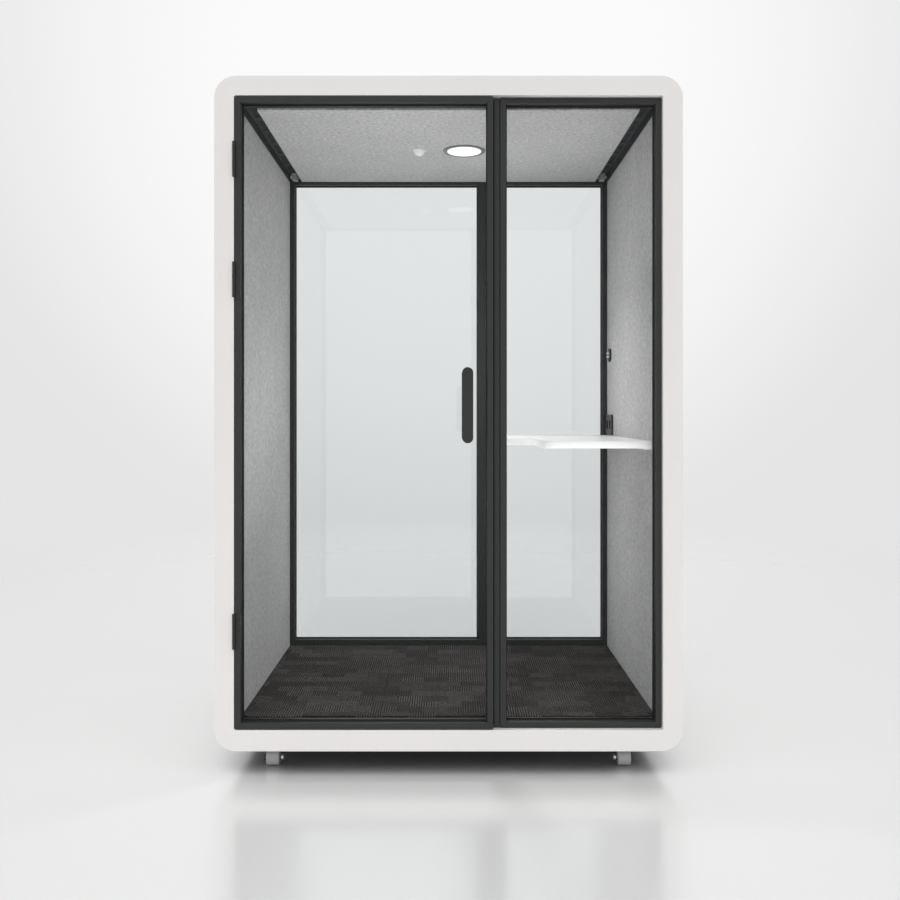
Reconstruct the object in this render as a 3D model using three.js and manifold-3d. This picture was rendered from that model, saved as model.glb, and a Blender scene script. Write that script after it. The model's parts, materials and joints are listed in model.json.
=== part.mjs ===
// Acoustic office pod on casters: a white shell with rounded corners, lined with felt, with a framed glass
// door beside a fixed pane at the front, glass behind, a wall desk, a ceiling light and extractor fans.
// Millimetres. X runs to the right as seen from the front, Y runs into the pod and Z runs up from the ground.
import * as THREE from 'three';
import { mergeVertices } from 'three/addons/utils/BufferGeometryUtils.js';
import Module from 'manifold-3d';

const wasm = await Module();
wasm.setup();

// Overall size and clearances
const POD_WIDTH = 1540;
const POD_DEPTH = 1100;
const SHELL_HEIGHT = 2220;
const GROUND_CLEARANCE = 80;
const CORNER_RADIUS = 72;
const SEAT = 0.3; // between pieces that rest on each other
const RUNNING = 0.5; // between pieces that turn or slide on each other

// Shell borders, seen from the front and from behind
const SKIN = 18;
const SIDE_BORDER = 65;
const TOP_BORDER = 65;
const BOTTOM_BORDER = 70;
const REAR_TOP_BORDER = 74;
const REAR_BOTTOM_BORDER = 88;
const OPENING_RADIUS = 6;

// Wall, ceiling and floor build-up
const WALL_CORE = 37.4;
const FELT = 16;
const ROOF_CORE = 55;
const FLOOR_CORE = 49;
const DECK = 18;
const CARPET = 7;

// Aluminium profiles and glass
const PROFILE_FACE = 20;
const REAR_FACE = 28;
const PROFILE_CHAMFER = 1.5;
const GLASS = 10;
const GROOVE_DEPTH = 10;
const GLASS_EDGE = 1; // from the edge of a pane to the bottom of its groove
const MITRE_GAP = 0.15;

// Door, its stop and the fixed pane beside it
const DOOR_WIDTH = 850;
const DOOR_DEPTH = 53;
const DOOR_GAP = 2.6;
const LATCH_GAP = 3.2;
const SEAL_DEPTH = 4.4;
const SEAL_WIDTH = 8;
const STOP_DEPTH = 17;
const STOP_FACE = 18;
const POST_WIDTH = 18;
const POST_RECESS = 20;
const FIXED_GAP = 2;
const FIXED_RECESS = 20;
const FRAME_MARGIN = 1; // from the back of the frames to the lining
const REAR_RECESS = 5;
const REAR_FRAME_DEPTH = 58;

// Hinges
const HINGE_HEIGHT = 116;
const HINGE_TOP_DROP = 208;
const HINGE_SECOND_DROP = 603;
const HINGE_BOTTOM_RISE = 322;
const BARREL_RADIUS = 5.5;
const PIN_RADIUS = 2.5;
const LEAF = 2;
const LEAF_DEPTH = 30;
const DOOR_LEAF_WIDTH = 16;

// Pull handle
const HANDLE_WIDTH = 36;
const HANDLE_HEIGHT = 248;
const HANDLE_THICKNESS = 12;
const HANDLE_STANDOFF = 38;
const HANDLE_FROM_STILE = 65;
const HANDLE_ABOVE_FLOOR = 1044;
const HANDLE_POST_RADIUS = 8;
const HANDLE_POST_SPACING = 180;
const HANDLE_BOLT_RADIUS = 4;
const HANDLE_BOLT_GRIP = 12;
const CAP_RADIUS = 6;
const CAP_GROOVE = 1;

// Air: ceiling channels, fans, roof grilles and wall inlets
const CHANNEL_WIDTH = 54;
const CHANNEL_HEIGHT = 30;
const CHANNEL_WALL = 3;
const CHANNEL_LIP = 3;
const CLIP_WIDTH = 22;
const CLIP_LENGTH = 45;
const SLOT_LENGTH = 110;
const SLOT_WIDTH = 24;
const SLOT_PITCH = 150;
const FAN_SIZE = 120;
const FAN_DEPTH = 25;
const FAN_BORE = 57;
const FAN_FROM_SIDE = 170; // from the side of the pod to the fan's axis
const FAN_MARGIN = 10; // from the fan's housing to the roof core
const MOTOR_RADIUS = 18;
const MOTOR_PLATE = 4;
const STRUT_WIDTH = 8;
const SHAFT_RADIUS = 3;
const BLADE_COUNT = 7;
const BLADE_THICKNESS = 2;
const BLADE_CAMBER = 4;
const BLADE_PITCH_DEG = 30;
const BLADE_TIP_GAP = 3;
const GRILLE_SLOT = 8;
const GRILLE_PITCH = 14;
const INLET_RADIUS = 4.5;
const INLET_COLUMNS = 5;
const INLET_ROWS = 4;
const INLET_COLUMN_PITCH = 40;
const INLET_ROW_PITCH = 38;
const INLET_FROM_REAR = 112; // from the rear end of the wall lining to the middle of the inlet
const INLET_ABOVE_FLOOR = 185;
const INLET_CHAMBER_MARGIN = 20;

// Ceiling light and presence sensor
const LIGHT_X = 61;
const LIGHT_DEPTH = 555;
const BEZEL_RADIUS = 82.5;
const BEZEL_DROP = 4;
const CAN_RADIUS = 70;
const CAN_HEIGHT = 40;
const CAN_WALL = 3;
const LENS_RADIUS = 66;
const LENS_THICKNESS = 4;
const SENSOR_X = -113;
const SENSOR_DEPTH = 550;
const SENSOR_FLANGE_RADIUS = 24;
const SENSOR_FLANGE = 3;
const SENSOR_STEM_RADIUS = 15;
const DOME_RADIUS = 19;

// Desk and what is above it on the right wall
const DESK_ABOVE_FLOOR = 924;
const DESK_THICKNESS = 25;
const DESK_NARROW = 376;
const DESK_WIDE = 528;
const DESK_STEP = 355;
const DESK_GAP = 10; // from the desk's ends to the hoops
const DESK_CORNER = 40;
const DESK_FILLET = 60;
const CLEAT = 38;
const CLEAT_WALL = 4;
const CLEAT_BELOW_TOP = 2; // from the top of the desk down to the edge of the angle behind it
const SOCKET_LENGTH = 146;
const SOCKET_HEIGHT = 86;
const SOCKET_THICKNESS = 8;
const SOCKET_CORNER = 8;
const SOCKET_ABOVE_DESK = 4;
const SOCKET_FROM_REAR = 8;
const OUTLET_RADIUS = 20;
const OUTLET_DEPTH = 5;
const OUTLET_SPACING = 66;
const CONTROL_RADIUS = 28;
const CONTROL_THICKNESS = 8;
const CONTROL_FROM_REAR = 85;
const CONTROL_ABOVE_DESK = 346;
const BUTTON_RADIUS = 5;
const BUTTON_SPACING = 15;
const BUTTON_PROUD = 8;
const BUTTON_STEM = 4;

// Casters
const CASTER_FROM_SIDE = 177; // from the side of the pod to the kingpin
const CASTER_INSET = 122;
const CASTER_TRAIL = 22;
const WHEEL_RADIUS = 26;
const WHEEL_WIDTH = 44;
const WHEEL_SHOULDER = 3;
const CHEEK = 4;
const CHEEK_RADIUS = 11;
const BRIDGE = 5;
const RACE_RADIUS = 22;
const RACE_HEIGHT = 7;
const KINGPIN_RADIUS = 5;
const KINGPIN_LENGTH = 12;
const AXLE_RADIUS = 5;
const NUT_RADIUS = 10;
const NUT_LENGTH = 8;

// Facets: sides of full rounds, and steps of each quarter of a rounded corner
const INLET_SIDES = 8;
const ROD_SIDES = 12;
const DISC_SIDES = 16;
const WHEEL_SIDES = 24;
const LIGHT_SIDES = 32;
const SMALL_STEPS = 2;
const BEND_STEPS = 8;

// Places that follow from the sizes above
const handleProud = HANDLE_STANDOFF + HANDLE_THICKNESS - (DOOR_DEPTH - GLASS) / 2;
const yFront = handleProud / 2 - POD_DEPTH / 2;
const yBack = yFront + POD_DEPTH;
const frontHoopDepth = DOOR_DEPTH + SEAL_DEPTH + STOP_DEPTH + 2 * SEAT + FRAME_MARGIN;
const rearHoopDepth = REAR_RECESS + REAR_FRAME_DEPTH + FRAME_MARGIN;
const yLiningFront = yFront + frontHoopDepth + SEAT;
const yLiningBack = yBack - rearHoopDepth - SEAT;
const yFramesBack = yFront + frontHoopDepth - FRAME_MARGIN;
const halfWidth = POD_WIDTH / 2;
const zBottom = GROUND_CLEARANCE;
const zTop = GROUND_CLEARANCE + SHELL_HEIGHT;
const openingLeft = -halfWidth + SIDE_BORDER;
const openingRight = halfWidth - SIDE_BORDER;
const openingBottom = zBottom + BOTTOM_BORDER;
const openingTop = zTop - TOP_BORDER;
const rearOpeningBottom = zBottom + REAR_BOTTOM_BORDER;
const rearOpeningTop = zTop - REAR_TOP_BORDER;
const wallBottom = zBottom + CORNER_RADIUS + SEAT;
const wallTop = zTop - CORNER_RADIUS - SEAT;
const coreOuter = halfWidth - SKIN - SEAT;
const feltOuter = coreOuter - WALL_CORE - SEAT;
const feltFace = feltOuter - FELT;
const wallFace = feltFace - SEAT; // where a fitting rests on the wall felt
const zDeckBottom = zBottom + SKIN + FLOOR_CORE + 2 * SEAT;
const zDeckTop = zDeckBottom + DECK;
const zFloor = zDeckTop + SEAT + CARPET;
const zRoofUnderside = zTop - SKIN;
const zCeilingTop = zRoofUnderside - ROOF_CORE - 2 * SEAT;
const zCeiling = zCeilingTop - FELT;
const ceilingHalf = feltFace - CHANNEL_WIDTH;
const doorLeft = openingLeft + DOOR_GAP;
const doorRight = doorLeft + DOOR_WIDTH;
const doorBottom = openingBottom + DOOR_GAP;
const doorTop = openingTop - DOOR_GAP;
const postLeft = doorRight + LATCH_GAP;
const postRight = postLeft + POST_WIDTH;
const fixedLeft = postRight + FIXED_GAP;
const xFan = halfWidth - FAN_FROM_SIDE;
const xCaster = halfWidth - CASTER_FROM_SIDE;

// Finishes
const finish = (color, roughness, metalness, opacity = 1) =>
  new THREE.MeshStandardMaterial({ color, roughness, metalness, opacity, transparent: opacity < 1 });
const WHITE_PAINT = finish(0xe2e0de, 0.45, 0.0);
const CHARCOAL = finish(0x3f4143, 0.4, 0.6);
const BLACK = finish(0x1d1e20, 0.5, 0.1);
const CLEAR_GLASS = finish(0xdfe8e6, 0.03, 0.0, 0.25);
const GREY_FELT = finish(0xa6a6a5, 0.95, 0.0);
const FOAM = finish(0x55565a, 1.0, 0.0);
const BOARD = finish(0xb08d5f, 0.8, 0.0);
const BROWN_CARPET = finish(0x3a3634, 1.0, 0.0);
const RUBBER = finish(0x161617, 0.8, 0.0);
const WHITE_LAMINATE = finish(0xf3f2f0, 0.35, 0.0);
const DIFFUSER = finish(0xffffff, 0.5, 0.0);
const GREY_METAL = finish(0x8f9193, 0.4, 0.7);
const ZINC = finish(0xc4c6c8, 0.3, 0.9);
const GREY_NYLON = finish(0x8c8d8e, 0.5, 0.0);

// Basic solids between stated limits
const box = (x0, x1, y0, y1, z0, z1) =>
  new THREE.BoxGeometry(x1 - x0, y1 - y0, z1 - z0).translate((x0 + x1) / 2, (y0 + y1) / 2, (z0 + z1) / 2);
const rod = (radius, length, sides = ROD_SIDES) => new THREE.CylinderGeometry(radius, radius, length, sides);
const rodX = (radius, x0, x1, y, z, sides) =>
  rod(radius, x1 - x0, sides).rotateZ(Math.PI / 2).translate((x0 + x1) / 2, y, z);
const rodY = (radius, y0, y1, x, z, sides) => rod(radius, y1 - y0, sides).translate(x, (y0 + y1) / 2, z);
const rodZ = (radius, z0, z1, x, y, sides) =>
  rod(radius, z1 - z0, sides).rotateX(Math.PI / 2).translate(x, y, (z0 + z1) / 2);

// Round holes, whose flats stand the stated radius from the axis
const acrossCorners = (radius, sides = ROD_SIDES) => radius / Math.cos(Math.PI / sides);
const holeX = (radius, x0, x1, y, z, sides) => rodX(acrossCorners(radius, sides), x0, x1, y, z, sides);
const holeY = (radius, y0, y1, x, z, sides) => rodY(acrossCorners(radius, sides), y0, y1, x, z, sides);
const holeZ = (radius, z0, z1, x, y, sides) => rodZ(acrossCorners(radius, sides), z0, z1, x, y, sides);

const extrude = (outline, depth, steps) =>
  new THREE.ExtrudeGeometry(outline, { depth, bevelEnabled: false, curveSegments: steps });

// An outline in X and Z, drawn out along Y
const alongY = (outline, y0, y1, steps = SMALL_STEPS) =>
  extrude(outline, y1 - y0, steps).rotateX(Math.PI / 2).translate(0, y1, 0);

// An outline in Y and Z, drawn out along X
function alongX(outline, x0, x1) {
  const turn = new THREE.Matrix4().makeBasis(
    new THREE.Vector3(0, 1, 0),
    new THREE.Vector3(0, 0, 1),
    new THREE.Vector3(1, 0, 0),
  );
  return extrude(outline, x1 - x0, SMALL_STEPS).applyMatrix4(turn).translate(x0, 0, 0);
}

// An outline in X and Y, drawn out along Z
const alongZ = (outline, z0, z1, steps = SMALL_STEPS) =>
  extrude(outline, z1 - z0, steps).translate(0, 0, z0);

// A rectangle with rounded corners
function roundedRect(left, right, low, high, radius) {
  const quarter = Math.PI / 2;
  return new THREE.Shape()
    .moveTo(left + radius, low)
    .absarc(right - radius, low + radius, radius, -quarter, 0)
    .absarc(right - radius, high - radius, radius, 0, quarter)
    .absarc(left + radius, high - radius, radius, quarter, 2 * quarter)
    .absarc(left + radius, low + radius, radius, 2 * quarter, 3 * quarter);
}

// A turned piece: radius and height pairs from the top down, revolved about the vertical through x, y
const turned = (profile, x, y, z, sides) =>
  new THREE.LatheGeometry(profile.toReversed().map((pair) => new THREE.Vector2(...pair)), sides)
    .rotateX(Math.PI / 2)
    .translate(x, y, z);

// One closed body with shared corners and no empty triangles
function closedBody(geometry) {
  const bare = geometry.clone();
  bare.deleteAttribute('normal');
  bare.deleteAttribute('uv');
  const merged = mergeVertices(bare);
  const corners = merged.index.array;
  const faces = [];
  for (let i = 0; i < corners.length; i += 3) {
    const [a, b, c] = corners.slice(i, i + 3);
    if (a !== b && b !== c && c !== a) faces.push(a, b, c);
  }
  merged.setIndex(faces);
  return merged;
}

// Joining and cutting
function solid(geometry) {
  const body = closedBody(geometry);
  const mesh = new wasm.Mesh({
    numProp: 3,
    vertProperties: body.attributes.position.array,
    triVerts: Uint32Array.from(body.index.array),
  });
  return new wasm.Manifold(mesh);
}

function geometryOf(manifold) {
  const mesh = manifold.getMesh();
  const geometry = new THREE.BufferGeometry();
  geometry.setAttribute('position', new THREE.BufferAttribute(mesh.vertProperties, 3));
  geometry.setIndex(new THREE.BufferAttribute(mesh.triVerts, 1));
  return geometry;
}

const joined = (first, ...others) =>
  geometryOf(others.reduce((sum, next) => sum.add(solid(next)), solid(first)));
const cut = (first, ...tools) =>
  geometryOf(tools.reduce((rest, tool) => rest.subtract(solid(tool)), solid(first)));
const kept = (first, second) => geometryOf(solid(first).intersect(solid(second)));

// The assembly
const pod = new THREE.Group();
function add(name, geometry, material) {
  const body = closedBody(geometry);
  body.computeVertexNormals();
  const mesh = new THREE.Mesh(body, material);
  mesh.name = name;
  pod.add(mesh);
}

// Front and rear hoops: rounded rings that close the ends of the shell and hold the glazing
function hoop(low, high, y0, y1) {
  const outside = roundedRect(-halfWidth, halfWidth, zBottom, zTop, CORNER_RADIUS);
  const opening = roundedRect(openingLeft, openingRight, low, high, OPENING_RADIUS);
  return cut(alongY(outside, y0, y1, BEND_STEPS), alongY(opening, y0 - SKIN, y1 + SKIN));
}
add('front_hoop', hoop(openingBottom, openingTop, yFront, yFront + frontHoopDepth), WHITE_PAINT);
add('rear_hoop', hoop(rearOpeningBottom, rearOpeningTop, yBack - rearHoopDepth, yBack), WHITE_PAINT);

// Outer panels between the hoops: flat sides, and a roof and a base bent up at both edges
for (const [name, side] of [['left', -1], ['right', 1]]) {
  const middle = side * (halfWidth - SKIN / 2);
  const panel = box(middle - SKIN / 2, middle + SKIN / 2, yLiningFront, yLiningBack, wallBottom, wallTop);
  add(`${name}_outer_panel`, panel, WHITE_PAINT);
}

function trough() {
  const bend = halfWidth - CORNER_RADIUS;
  const inner = CORNER_RADIUS - SKIN;
  const outline = new THREE.Shape()
    .moveTo(-halfWidth, CORNER_RADIUS)
    .absarc(-bend, CORNER_RADIUS, CORNER_RADIUS, Math.PI, 1.5 * Math.PI, false)
    .absarc(bend, CORNER_RADIUS, CORNER_RADIUS, 1.5 * Math.PI, 2 * Math.PI, false)
    .absarc(bend, CORNER_RADIUS, inner, 2 * Math.PI, 1.5 * Math.PI, true)
    .absarc(-bend, CORNER_RADIUS, inner, 1.5 * Math.PI, Math.PI, true);
  return alongY(outline, yLiningFront, yLiningBack, BEND_STEPS);
}

const yFan = (yLiningFront + yLiningBack) / 2;
const grilleSlots = [];
for (const side of [-1, 1]) {
  const slotHalf = GRILLE_SLOT / 2;
  const lines = Math.floor((FAN_BORE - slotHalf) / GRILLE_PITCH);
  for (let line = -lines; line <= lines; line += 1) {
    const x = side * xFan + line * GRILLE_PITCH;
    const reach = Math.sqrt(FAN_BORE ** 2 - (Math.abs(line) * GRILLE_PITCH + slotHalf) ** 2);
    const outline = roundedRect(x - slotHalf, x + slotHalf, yFan - reach, yFan + reach, slotHalf);
    grilleSlots.push(alongZ(outline, zRoofUnderside - SKIN, zTop + SKIN));
  }
}
add('roof_panel', cut(trough().rotateY(Math.PI).translate(0, 0, zTop), ...grilleSlots), WHITE_PAINT);

const casterPlaces = [];
for (const [end, y] of [['front', yFront + CASTER_INSET], ['rear', yBack - CASTER_INSET]]) {
  for (const [hand, side] of [['left', -1], ['right', 1]]) {
    casterPlaces.push({ name: `${end}_${hand}`, side, x: side * xCaster, y });
  }
}
const kingpinSockets = casterPlaces.map(({ x, y }) =>
  holeZ(KINGPIN_RADIUS + RUNNING, zBottom - SKIN, zBottom + KINGPIN_LENGTH + RUNNING, x, y));
add('base_pan', cut(trough().translate(0, 0, zBottom), ...kingpinSockets), WHITE_PAINT);

// Floor: rigid core in the pan, a deck across the whole width, carpet between the walls
const zFloorCore = zBottom + SKIN + SEAT;
const bendHalf = halfWidth - CORNER_RADIUS;
const floorCore = box(-bendHalf, bendHalf, yLiningFront, yLiningBack, zFloorCore, zFloorCore + FLOOR_CORE);
add('floor_core', floorCore, FOAM);
const bendRise = Math.max(0, zBottom + CORNER_RADIUS - zDeckBottom);
const deckHalf = bendHalf + Math.sqrt((CORNER_RADIUS - SKIN) ** 2 - bendRise ** 2) - RUNNING;
add('floor_deck', box(-deckHalf, deckHalf, yLiningFront, yLiningBack, zDeckBottom, zDeckTop), BOARD);
add('carpet', box(-wallFace, wallFace, yLiningFront, yLiningBack, zDeckTop + SEAT, zFloor), BROWN_CARPET);

// Side walls: acoustic core with an air chamber at the inlet, and a felt panel with the inlet's holes in it
const inletY = yLiningBack - INLET_FROM_REAR;
const inletZ = zFloor + INLET_ABOVE_FLOOR;
const inletHalfLength = ((INLET_COLUMNS - 1) / 2) * INLET_COLUMN_PITCH;
const inletHalfHeight = ((INLET_ROWS - 1) / 2) * INLET_ROW_PITCH;
function inletHoles(x0, x1) {
  const holes = [];
  for (let column = 0; column < INLET_COLUMNS; column += 1) {
    const rows = INLET_ROWS - (column % 2);
    for (let row = 0; row < rows; row += 1) {
      const y = inletY - inletHalfLength + column * INLET_COLUMN_PITCH;
      const z = inletZ + (row - (rows - 1) / 2) * INLET_ROW_PITCH;
      holes.push(holeX(INLET_RADIUS, x0, x1, y, z, INLET_SIDES));
    }
  }
  return holes;
}
const wallFoot = zDeckTop + SEAT;
for (const [name, side] of [['left', -1], ['right', 1]]) {
  const across = (inner, outer) => (side < 0 ? [-outer, -inner] : [inner, outer]);
  const core = box(...across(feltOuter + SEAT, coreOuter), yLiningFront, yLiningBack, wallFoot, wallTop);
  const chamber = box(
    ...across(feltOuter - FELT, halfWidth),
    inletY - inletHalfLength - INLET_CHAMBER_MARGIN,
    inletY + inletHalfLength + INLET_CHAMBER_MARGIN,
    wallFoot - DECK,
    inletZ + inletHalfHeight + INLET_CHAMBER_MARGIN,
  );
  add(`${name}_core`, cut(core, chamber), FOAM);
  const felt = box(...across(feltFace, feltOuter), yLiningFront, yLiningBack, wallFoot, wallTop);
  add(`${name}_felt`, cut(felt, ...inletHoles(...across(feltFace - FELT, feltOuter + FELT))), GREY_FELT);
}

// Ceiling: roof core with room for the light, felt panel, and along each wall a slotted air channel that
// a clip at its rear end holds up
const yLight = yFront + LIGHT_DEPTH;
const ySensor = yFront + SENSOR_DEPTH;
const roofCoreHalf = xFan - FAN_SIZE / 2 - FAN_MARGIN;
const roofCore = box(
  -roofCoreHalf,
  roofCoreHalf,
  yLiningFront,
  yLiningBack,
  zCeilingTop + SEAT,
  zCeilingTop + SEAT + ROOF_CORE,
);
const canHole = holeZ(CAN_RADIUS + RUNNING, zCeiling - FELT, zTop, LIGHT_X, yLight, LIGHT_SIDES);
add('roof_core', cut(roofCore, canHole), FOAM);
const ceilingPanel = box(-ceilingHalf, ceilingHalf, yLiningFront, yLiningBack, zCeiling, zCeilingTop);
const stemHole = holeZ(SENSOR_STEM_RADIUS + RUNNING, zCeiling - FELT, zCeilingTop + FELT, SENSOR_X, ySensor);
add('ceiling_felt', cut(ceilingPanel, canHole, stemHole), GREY_FELT);

const channelSlots = [];
const slotRun = yLiningBack - yLiningFront - SLOT_PITCH;
const slotCount = Math.floor(slotRun / SLOT_PITCH) + 1;
for (let slot = 0; slot < slotCount; slot += 1) {
  const y = yFan + (slot - (slotCount - 1) / 2) * SLOT_PITCH;
  channelSlots.push([y - SLOT_LENGTH / 2, y + SLOT_LENGTH / 2]);
}
for (const [name, side] of [['left', -1], ['right', 1]]) {
  const ceilingSide = ceilingHalf + SEAT;
  const zWeb = zCeiling + CHANNEL_HEIGHT;
  const outline = new THREE.Shape()
    .moveTo(side * wallFace, zCeiling - CHANNEL_LIP)
    .lineTo(side * wallFace, zWeb)
    .lineTo(side * ceilingSide, zWeb)
    .lineTo(side * ceilingSide, zCeiling)
    .lineTo(side * (ceilingSide + CHANNEL_WALL), zCeiling)
    .lineTo(side * (ceilingSide + CHANNEL_WALL), zWeb - CHANNEL_WALL)
    .lineTo(side * (wallFace - CHANNEL_WALL), zWeb - CHANNEL_WALL)
    .lineTo(side * (wallFace - CHANNEL_WALL), zCeiling - CHANNEL_LIP);
  const middle = side * (wallFace + ceilingSide) / 2;
  const slots = channelSlots.map(([y0, y1]) => alongZ(
    roundedRect(middle - SLOT_WIDTH / 2, middle + SLOT_WIDTH / 2, y0, y1, SLOT_WIDTH / 2),
    zWeb - CHANNEL_HEIGHT / 2,
    zWeb + CHANNEL_WALL,
  ));
  const channel = cut(alongY(outline, yLiningFront, yLiningBack), ...slots);
  const clip = box(
    middle - CLIP_WIDTH / 2,
    middle + CLIP_WIDTH / 2,
    yLiningBack - CLIP_LENGTH,
    yLiningBack,
    zCeiling,
    zWeb - CHANNEL_WALL / 2,
  );
  add(`${name}_air_channel`, joined(channel, clip), BLACK);
}

// Glazed frames: a ring of profile with a groove round its inside, and the pane in the groove
function frameRing(left, right, low, high, y0, y1, face = PROFILE_FACE) {
  const outline = roundedRect(left, right, low, high, OPENING_RADIUS);
  const window = new THREE.Shape()
    .moveTo(left + face, low + face)
    .lineTo(right - face, low + face)
    .lineTo(right - face, high - face)
    .lineTo(left + face, high - face);
  outline.holes.push(window);
  const reach = face - GROOVE_DEPTH;
  const yGlass = (y0 + y1) / 2;
  const half = GLASS / 2 + SEAT;
  const groove = box(left + reach, right - reach, yGlass - half, yGlass + half, low + reach, high - reach);
  return cut(alongY(outline, y0, y1), groove);
}
function pane(left, right, low, high, yGlass, face = PROFILE_FACE) {
  const reach = face - GROOVE_DEPTH + GLASS_EDGE;
  return box(left + reach, right - reach, yGlass - GLASS / 2, yGlass + GLASS / 2, low + reach, high - reach);
}

// Door jamb: a stop behind the door on all sides, with the centre post in front of it on the latch side
const jambLeft = openingLeft + SEAT;
const jambBottom = openingBottom + SEAT;
const jambTop = openingTop - SEAT;
const stopFront = yFramesBack - STOP_DEPTH;
const stopOutline = roundedRect(jambLeft, postRight, jambBottom, jambTop, OPENING_RADIUS);
const stopRight = doorRight - STOP_FACE;
const stopWindow = new THREE.Shape()
  .moveTo(jambLeft + STOP_FACE, jambBottom + STOP_FACE)
  .lineTo(stopRight, jambBottom + STOP_FACE)
  .lineTo(stopRight, jambTop - STOP_FACE)
  .lineTo(jambLeft + STOP_FACE, jambTop - STOP_FACE);
stopOutline.holes.push(stopWindow);
const post = box(
  postLeft,
  postRight,
  yFront + POST_RECESS,
  yFramesBack,
  jambBottom + OPENING_RADIUS,
  jambTop - OPENING_RADIUS,
);
add('door_jamb', joined(alongY(stopOutline, stopFront, yFramesBack), post), CHARCOAL);

// Fixed pane beside the door, set back from the front of the shell
const fixedRight = openingRight - SEAT;
const fixedFront = yFront + FIXED_RECESS;
add('fixed_frame', frameRing(fixedLeft, fixedRight, jambBottom, jambTop, fixedFront, yFramesBack), CHARCOAL);
const yFixedGlass = (fixedFront + yFramesBack) / 2;
add('fixed_glass', pane(fixedLeft, fixedRight, jambBottom, jambTop, yFixedGlass), CLEAR_GLASS);

// Rear glazing: two panes in broader frames and a post, with the left glass as far across as the door's
const rearLow = rearOpeningBottom + SEAT;
const rearHigh = rearOpeningTop - SEAT;
const rearFront = yBack - REAR_RECESS - REAR_FRAME_DEPTH;
const rearRear = yBack - REAR_RECESS;
const yRearGlass = (rearFront + rearRear) / 2;
const rearMeeting = doorRight + REAR_FACE - PROFILE_FACE;
for (const [name, left, right] of [['left', jambLeft, rearMeeting], ['right', fixedLeft, fixedRight]]) {
  const ring = frameRing(left, right, rearLow, rearHigh, rearFront, rearRear, REAR_FACE);
  add(`rear_frame_${name}`, ring, CHARCOAL);
  add(`rear_glass_${name}`, pane(left, right, rearLow, rearHigh, yRearGlass, REAR_FACE), CLEAR_GLASS);
}
add('rear_post', box(rearMeeting + SEAT, fixedLeft - SEAT, rearFront, rearRear, rearLow, rearHigh), CHARCOAL);

// Door leaf: four mitred profiles, grooved for the glass and rounded at the corners of the leaf
const doorBack = yFront + DOOR_DEPTH;
const yDoorGlass = yFront + DOOR_DEPTH / 2;
function doorProfile() {
  const half = GLASS / 2 + SEAT;
  const middle = DOOR_DEPTH / 2;
  return new THREE.Shape()
    .moveTo(0, PROFILE_CHAMFER)
    .lineTo(PROFILE_CHAMFER, 0)
    .lineTo(PROFILE_FACE - PROFILE_CHAMFER, 0)
    .lineTo(PROFILE_FACE, PROFILE_CHAMFER)
    .lineTo(PROFILE_FACE, middle - half)
    .lineTo(PROFILE_FACE - GROOVE_DEPTH, middle - half)
    .lineTo(PROFILE_FACE - GROOVE_DEPTH, middle + half)
    .lineTo(PROFILE_FACE, middle + half)
    .lineTo(PROFILE_FACE, DOOR_DEPTH)
    .lineTo(0, DOOR_DEPTH);
}

// Each end of a bar is cut back by the distance from the bar's outer edge
function mitredBar(length, inward, origin) {
  const bar = extrude(doorProfile(), length, SMALL_STEPS);
  const position = bar.attributes.position;
  for (let i = 0; i < position.count; i += 1) {
    const setback = position.getX(i) + MITRE_GAP;
    position.setZ(i, position.getZ(i) > 0 ? length - setback : setback);
  }
  const back = new THREE.Vector3(0, 1, 0);
  const along = new THREE.Vector3().crossVectors(inward, back);
  return bar.applyMatrix4(new THREE.Matrix4().makeBasis(inward, back, along).setPosition(origin));
}
const doorHeight = doorTop - doorBottom;
const leafOutline = roundedRect(doorLeft, doorRight, doorBottom, doorTop, OPENING_RADIUS);
const leafBody = alongY(leafOutline, yFront - DOOR_DEPTH, doorBack + DOOR_DEPTH);
const doorBars = [
  ['door_hinge_stile', doorHeight, [1, 0, 0], [doorLeft, yFront, doorBottom]],
  ['door_latch_stile', doorHeight, [-1, 0, 0], [doorRight, yFront, doorTop]],
  ['door_top_rail', DOOR_WIDTH, [0, 0, -1], [doorLeft, yFront, doorTop]],
  ['door_bottom_rail', DOOR_WIDTH, [0, 0, 1], [doorRight, yFront, doorBottom]],
];
for (const [name, length, inward, origin] of doorBars) {
  const bar = mitredBar(length, new THREE.Vector3(...inward), new THREE.Vector3(...origin));
  add(name, kept(bar, leafBody), CHARCOAL);
}

// Door seal: a rubber ring on the stop, which the closed door meets
const sealInset = (STOP_FACE - SEAL_WIDTH) / 2;
const sealOuter = [jambLeft + sealInset, doorRight - sealInset, jambBottom + sealInset, jambTop - sealInset];
const sealOutline = roundedRect(...sealOuter, OPENING_RADIUS);
sealOutline.holes.push(new THREE.Shape()
  .moveTo(sealOuter[0] + SEAL_WIDTH, sealOuter[2] + SEAL_WIDTH)
  .lineTo(sealOuter[1] - SEAL_WIDTH, sealOuter[2] + SEAL_WIDTH)
  .lineTo(sealOuter[1] - SEAL_WIDTH, sealOuter[3] - SEAL_WIDTH)
  .lineTo(sealOuter[0] + SEAL_WIDTH, sealOuter[3] - SEAL_WIDTH));
add('door_seal', alongY(sealOutline, stopFront - SEAT - SEAL_DEPTH, stopFront - SEAT), RUBBER);

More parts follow.
